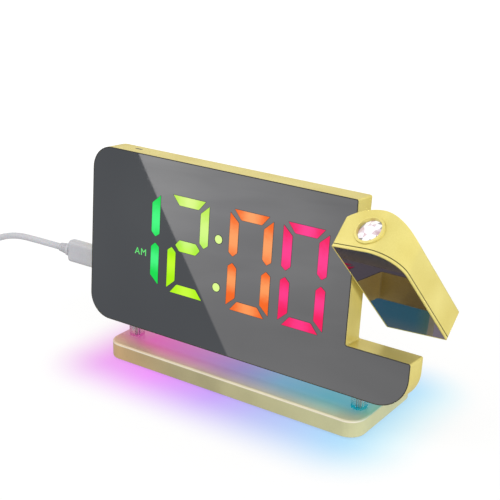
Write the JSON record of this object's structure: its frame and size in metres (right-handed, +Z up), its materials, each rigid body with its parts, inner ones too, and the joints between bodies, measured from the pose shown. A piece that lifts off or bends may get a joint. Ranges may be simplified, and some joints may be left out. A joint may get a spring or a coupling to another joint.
{
  "type": "projection alarm clock",
  "caption": "Mirror-faced digital alarm clock on two clear posts and a flat base, with a night light and a turning projector block.",
  "frame": {"origin": "centre of the rubber pad's underside, where the clock stands on the desk", "axes": "+X to the viewer's right along the clock's length, +Y to its back, +Z up; the face looks towards -Y and leans back 4 degrees"},
  "size_m": [0.3812, 0.0964, 0.1079],
  "materials": {
    "satin_gold": "satin gold lacquer on moulded ABS",
    "gold_plastic": "satin gold lacquer on moulded ABS, finely textured",
    "smoked_mirror": "half-silvered smoked mirror sheet, polished",
    "clear_plastic": "clear moulded acrylic, fluted",
    "black_plastic": "moulded black ABS",
    "frosted_plastic": "frosted light diffuser",
    "green_light": "light guide, lit green",
    "lime_light": "light guide, lit yellow-green",
    "orange_light": "light guide, lit orange",
    "pink_light": "light guide, lit pink",
    "white_light": "light guide, lit white",
    "circuit_board": "solder-masked board",
    "steel": "plated steel",
    "acetal": "natural acetal",
    "film": "numeral display slide, black with clear numerals",
    "lens_glass": "polished moulded lens",
    "pad_rubber": "soft anti-slip pad",
    "white_plastic": "white moulded plug",
    "lead_jacket": "white PVC jacket"
  },
  "bodies": {
    "clock": {"ampm_marks": "white_light", "anti_slip_pad": "pad_rubber", "backup_cell": "steel", "base_cover": "black_plastic", "base_screws": "steel", "base_shell": "satin_gold", "body_housing": "satin_gold", "button_board": "circuit_board", "buzzer": "black_plastic", "cell_door": "gold_plastic", "cell_holder": "black_plastic", "colon_dots": "lime_light", "cover_screws": "steel", "display_board": "circuit_board", "far_plug": "white_plastic", "hinge_bush": "acetal", "hour_tens_digit": "green_light", "hour_units_digit": "lime_light", "left_post": "clear_plastic", "light_bar": "frosted_plastic", "light_sensor": "black_plastic", "light_strip_board": "circuit_board", "main_board": "circuit_board", "minute_tens_digit": "orange_light", "minute_units_digit": "pink_light", "mirror_panel": "smoked_mirror", "post_screws": "steel", "projector_lead": "lead_jacket", "rear_cover": "gold_plastic", "right_post": "clear_plastic", "segment_mask": "black_plastic", "strain_relief": "white_plastic", "usb_lead": "lead_jacket", "usb_lead_coil": "lead_jacket", "usb_plug": "white_plastic", "usb_socket": "steel"},
    "projector_yoke": {"hinge_shaft": "steel", "hinge_clip": "steel", "friction_washer": "steel"},
    "projector": {"projector_housing": "satin_gold", "projector_bezel": "satin_gold", "projector_mirror": "smoked_mirror", "projector_screws": "steel", "lens_ring": "satin_gold", "projector_lens": "lens_glass", "lens_barrel": "black_plastic", "digit_slide": "film", "projector_lamp_board": "circuit_board", "swing_screw": "steel"},
    "set_key": {"set_button": "gold_plastic"},
    "down_key": {"down_button": "gold_plastic"},
    "up_key": {"up_button": "gold_plastic"},
    "projector_key": {"projector_button": "gold_plastic"},
    "light_key": {"light_button": "gold_plastic"}
  },
  "joints": [
    {"name": "projector_turn", "type": "hinge", "parent": "clock", "child": "projector_yoke", "pos_m": [0.0697, -0.00762, 0.07479], "axis": [1, 0, 0], "range_deg": [-134, 46]},
    {"name": "projector_swing", "type": "hinge", "parent": "projector_yoke", "child": "projector", "pos_m": [0.0697, -0.00762, 0.07479], "axis": [0, -0.766, -0.6428], "range_deg": [-6.5, 0]},
    {"name": "set_press", "type": "slide", "parent": "clock", "child": "set_key", "axis": [0, -0.9976, 0.0698], "range_m": [0, 0.0005], "stiffness_N_per_m": 2000},
    {"name": "down_press", "type": "slide", "parent": "clock", "child": "down_key", "axis": [0, -0.9976, 0.0698], "range_m": [0, 0.0005], "stiffness_N_per_m": 2000},
    {"name": "up_press", "type": "slide", "parent": "clock", "child": "up_key", "axis": [0, -0.9976, 0.0698], "range_m": [0, 0.0005], "stiffness_N_per_m": 2000},
    {"name": "projector_press", "type": "slide", "parent": "clock", "child": "projector_key", "axis": [0, -0.9976, 0.0698], "range_m": [0, 0.0005], "stiffness_N_per_m": 2000},
    {"name": "light_press", "type": "slide", "parent": "clock", "child": "light_key", "axis": [0, -0.9976, 0.0698], "range_m": [0, 0.0005], "stiffness_N_per_m": 2000}
  ]
}
